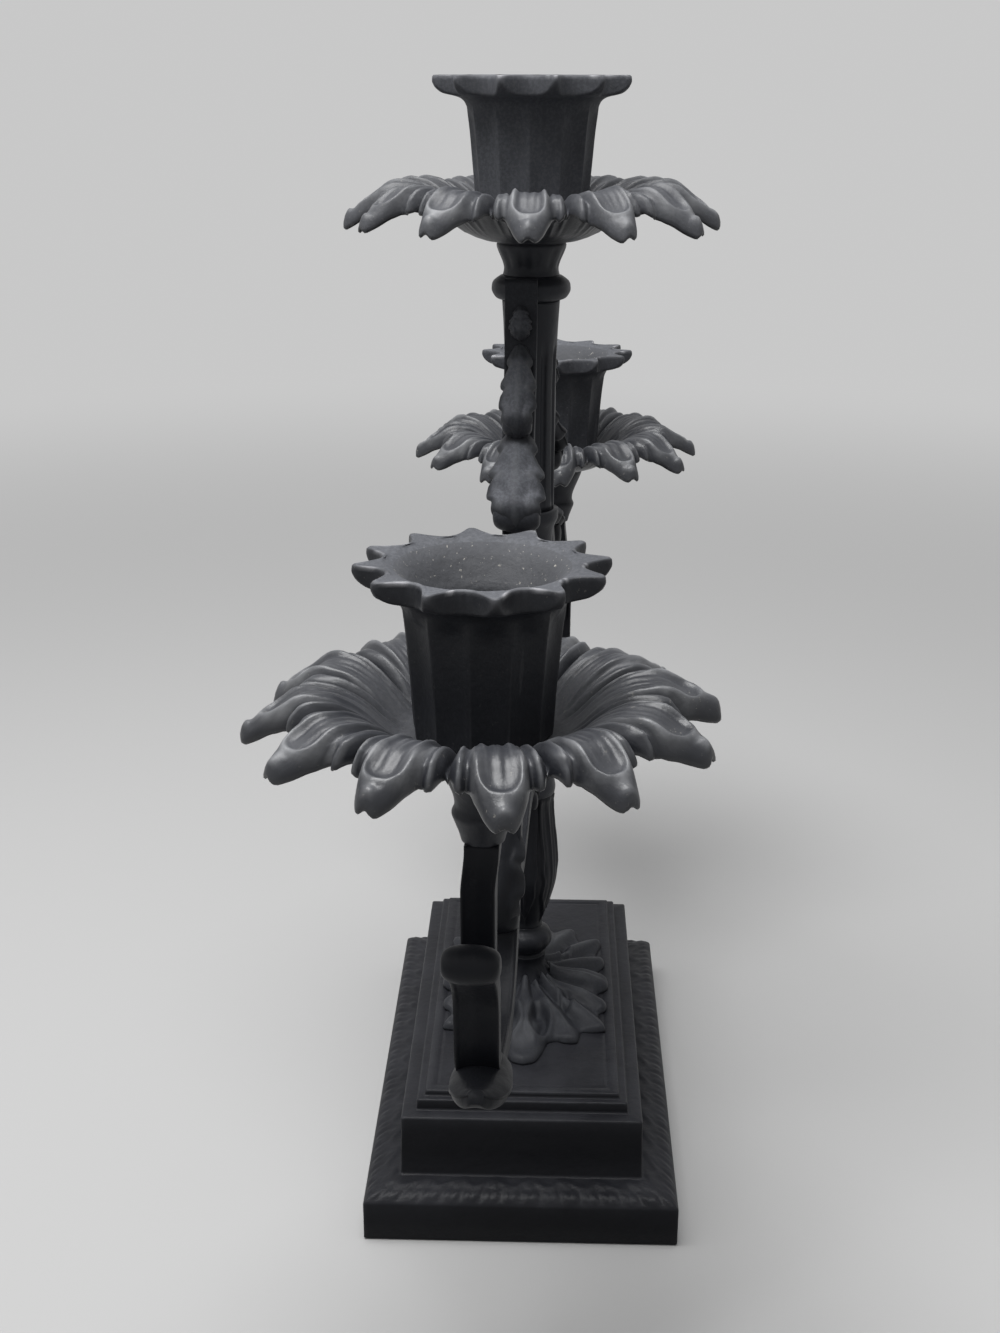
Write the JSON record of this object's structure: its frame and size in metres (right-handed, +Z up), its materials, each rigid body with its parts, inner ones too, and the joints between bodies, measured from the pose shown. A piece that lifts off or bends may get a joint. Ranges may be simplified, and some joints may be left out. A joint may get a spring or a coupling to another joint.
{
  "type": "candelabra",
  "caption": "Cast metal candelabra with scrolled leafy arms on a stepped oblong plinth; leaf drip pans and fluted candle cups lift off their studs, and the stem turns on its tie rod.",
  "frame": {"origin": "under the middle of the plinth, on the plane it stands on", "axes": "+Z up, +X along the plinth towards the front arm, +Y to the right of someone who faces the front arm's candle from outside"},
  "size_m": [0.3692, 0.1149, 0.3035],
  "materials": {
    "plinth_black": "satin black paint over sandy casting skin, lighter along worn edges",
    "ornament_black": "satin black paint, rubbed grey on the raised relief",
    "stem_black": "satin black paint",
    "pan_black": "satin black paint, dusty grey on upward faces and rubbed on the leaf ribs",
    "cup_black": "satin black paint with a rough, speckled casting skin inside",
    "fastener_steel": "plain steel, slightly dull"
  },
  "bodies": {
    "root": {"plinth": "plinth_black", "foot_leaves": "ornament_black"},
    "stem": {"foot_knob": "ornament_black", "leaf_bud": "ornament_black", "stem_shaft": "stem_black", "upper_column": "stem_black", "ring_collar": "stem_black", "neck": "stem_black", "front_arm": "ornament_black", "rear_arm": "ornament_black", "front_socket": "stem_black", "rear_socket": "stem_black", "front_stud": "fastener_steel", "rear_stud": "fastener_steel", "tie_rod": "fastener_steel", "base_washer": "fastener_steel", "base_nut": "fastener_steel", "arm_screws": "fastener_steel"},
    "front_pan": {"front_pan": "pan_black"},
    "centre_pan": {"centre_pan": "pan_black"},
    "rear_pan": {"rear_pan": "pan_black"},
    "front_cup": {"front_cup": "cup_black"},
    "centre_cup": {"centre_cup": "cup_black"},
    "rear_cup": {"rear_cup": "cup_black"}
  },
  "joints": [
    {"name": "stem_turn", "type": "hinge", "parent": "root", "child": "stem", "pos_m": [0, 0, 0.05], "axis": [0, 0, 1], "continuous": true},
    {"name": "front_pan_lift", "type": "slide", "parent": "stem", "child": "front_pan", "axis": [0, 0, 1], "range_m": [0, 0.05]},
    {"name": "front_cup_lift", "type": "slide", "parent": "front_pan", "child": "front_cup", "axis": [0, 0, 1], "range_m": [0, 0.06]},
    {"name": "centre_pan_lift", "type": "slide", "parent": "stem", "child": "centre_pan", "axis": [0, 0, 1], "range_m": [0, 0.05]},
    {"name": "centre_cup_lift", "type": "slide", "parent": "centre_pan", "child": "centre_cup", "axis": [0, 0, 1], "range_m": [0, 0.06]},
    {"name": "rear_pan_lift", "type": "slide", "parent": "stem", "child": "rear_pan", "axis": [0, 0, 1], "range_m": [0, 0.05]},
    {"name": "rear_cup_lift", "type": "slide", "parent": "rear_pan", "child": "rear_cup", "axis": [0, 0, 1], "range_m": [0, 0.06]}
  ]
}
